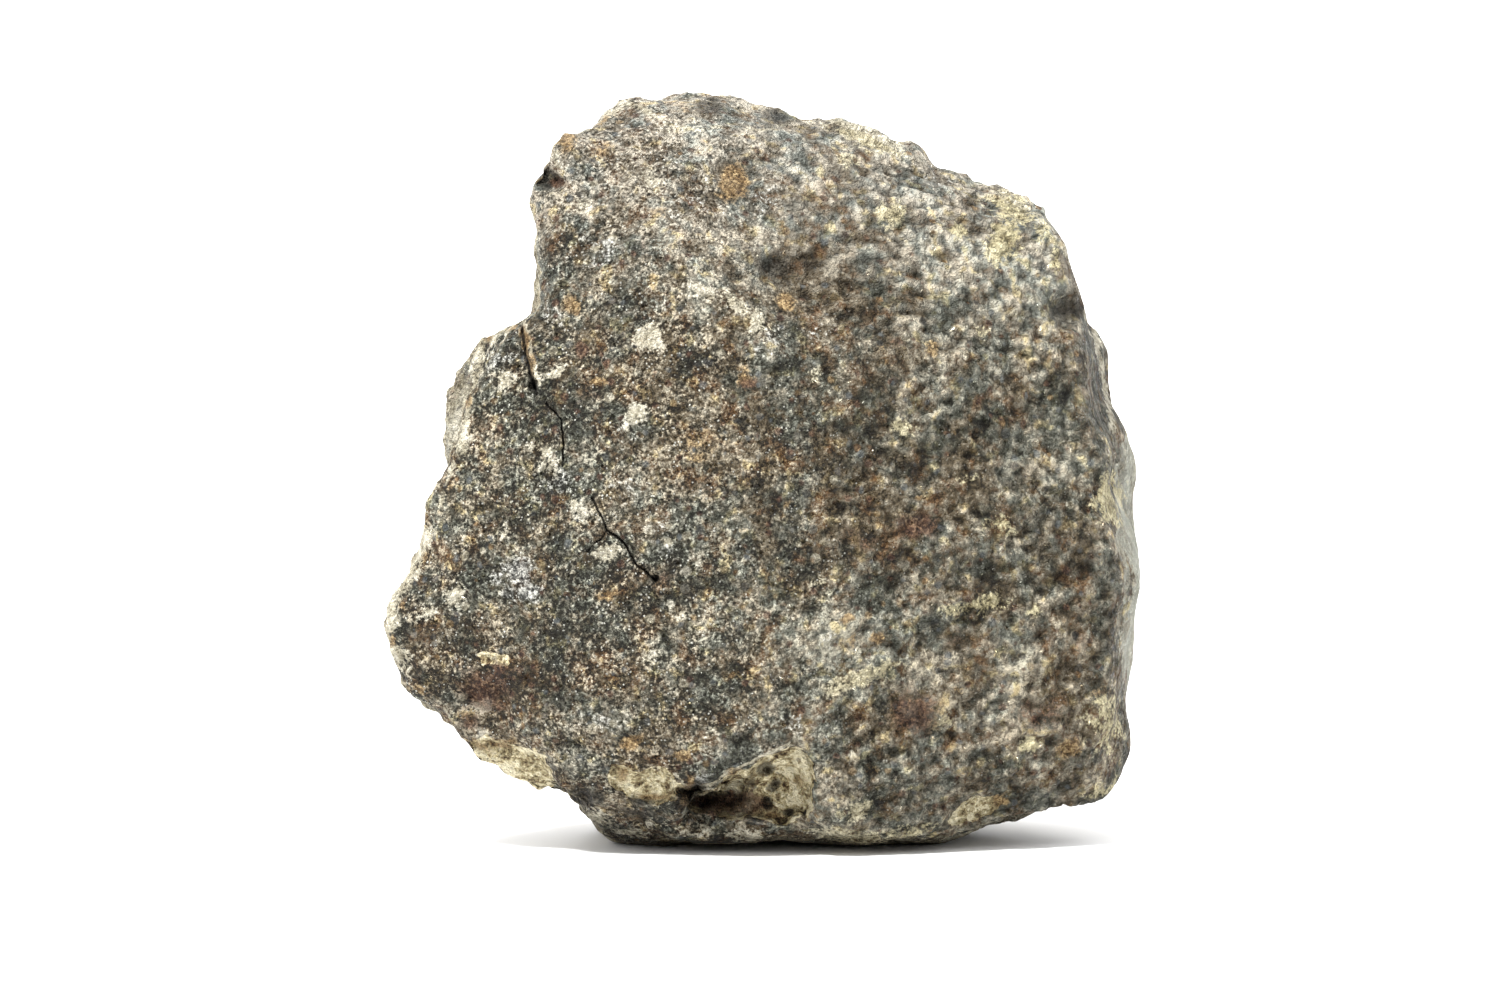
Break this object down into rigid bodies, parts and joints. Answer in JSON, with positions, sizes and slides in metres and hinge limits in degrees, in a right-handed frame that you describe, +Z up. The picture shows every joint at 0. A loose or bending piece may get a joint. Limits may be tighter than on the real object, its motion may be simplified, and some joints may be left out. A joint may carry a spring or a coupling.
{
  "type": "chondrite meteorite",
  "caption": "Broken, weathered stony meteorite standing on a small ground flat: a broad front face, a set-back left slab, a hollow under a crust lip and rough broken sides and back.",
  "frame": {"origin": "the point of the flat spot on the surface below, near its middle", "axes": "+Z up, -Y towards the viewer of the picture, +X to the viewer's right"},
  "size_m": [0.0366, 0.0255, 0.0362],
  "materials": {
    "chondrite": "rough broken stone, warm grey with cream, ochre and rust grains"
  },
  "bodies": {
    "root": {"meteorite": "chondrite"}
  },
  "joints": []
}
